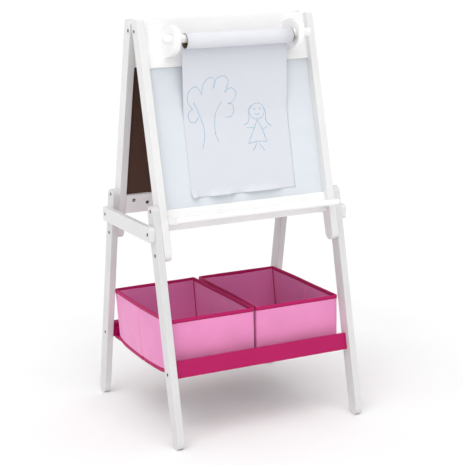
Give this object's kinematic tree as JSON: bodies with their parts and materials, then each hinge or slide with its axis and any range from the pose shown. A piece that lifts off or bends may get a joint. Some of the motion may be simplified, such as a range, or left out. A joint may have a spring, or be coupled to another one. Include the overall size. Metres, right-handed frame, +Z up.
{
  "type": "children's easel",
  "caption": "Double-sided wooden A-frame easel for a child, with whiteboard, chalkboard, trays, paper roll holder and soft storage bins below.",
  "frame": {"origin": "on the floor at the middle of the easel's footprint", "axes": "+Z up; -Y towards a child at the whiteboard, +Y towards a child at the chalkboard; +X to the right seen from the whiteboard side"},
  "size_m": [0.642, 0.6026, 1.1932],
  "materials": {
    "white_wood": "satin white paint",
    "magenta_wood": "satin magenta paint",
    "whiteboard": "gloss white dry-erase face on brown hardboard",
    "chalkboard": "matte black chalk face on brown hardboard",
    "core_card": "brown wound card",
    "drawing_paper": "matte white paper",
    "bin_fabric": "non-woven pink fabric",
    "bin_binding": "magenta binding tape",
    "bin_card": "fabric-covered board",
    "bolt_metal": "dark nickel",
    "insert_brass": "plain brass",
    "screw_steel": "dark zinc plated"
  },
  "bodies": {
    "easel_frame": {"bottom_rail_bolts": "bolt_metal", "bottom_rail_nuts": "screw_steel", "brace_bolts": "bolt_metal", "bracket_screws": "screw_steel", "chalkboard_panel": "chalkboard", "front_bin_ledge": "magenta_wood", "front_bottom_rail": "white_wood", "front_leg_left": "white_wood", "front_leg_right": "white_wood", "front_lower_rail": "magenta_wood", "front_post_left": "white_wood", "front_post_right": "white_wood", "front_top_rail": "white_wood", "front_tray": "white_wood", "ledge_screws": "screw_steel", "leg_bolts": "bolt_metal", "leg_inserts": "insert_brass", "lower_rail_bolts": "bolt_metal", "lower_rail_nuts": "screw_steel", "paper_bracket_left": "white_wood", "paper_bracket_right": "white_wood", "paper_sheet": "drawing_paper", "post_inserts": "insert_brass", "rear_bin_ledge": "magenta_wood", "rear_bottom_rail": "white_wood", "rear_leg_left": "white_wood", "rear_leg_right": "white_wood", "rear_lower_rail": "magenta_wood", "rear_post_left": "white_wood", "rear_post_right": "white_wood", "rear_top_rail": "white_wood", "rear_tray": "white_wood", "side_brace_left": "white_wood", "side_brace_right": "white_wood", "top_rail_bolts": "bolt_metal", "top_rail_nuts": "screw_steel", "tray_screws": "screw_steel", "whiteboard_panel": "whiteboard"},
    "paper_dowel": {"paper_dowel": "white_wood"},
    "paper_roll": {"roll_core": "core_card", "paper_roll": "drawing_paper"},
    "left_bin": {"bin_left": "bin_fabric", "bin_base_left": "bin_card"},
    "right_bin": {"bin_right": "bin_fabric", "bin_base_right": "bin_card"}
  },
  "joints": [
    {"name": "dowel_draw", "type": "slide", "parent": "easel_frame", "child": "paper_dowel", "axis": [-1, 0, 0], "range_m": [0, 0.45]},
    {"name": "roll_spin", "type": "hinge", "parent": "easel_frame", "child": "paper_roll", "pos_m": [0, -0.104, 1.134], "axis": [1, 0, 0], "continuous": true},
    {"name": "left_bin_lift", "type": "slide", "parent": "easel_frame", "child": "left_bin", "axis": [0, 0, 1], "range_m": [0, 0.12]},
    {"name": "right_bin_lift", "type": "slide", "parent": "easel_frame", "child": "right_bin", "axis": [0, 0, 1], "range_m": [0, 0.12]}
  ]
}
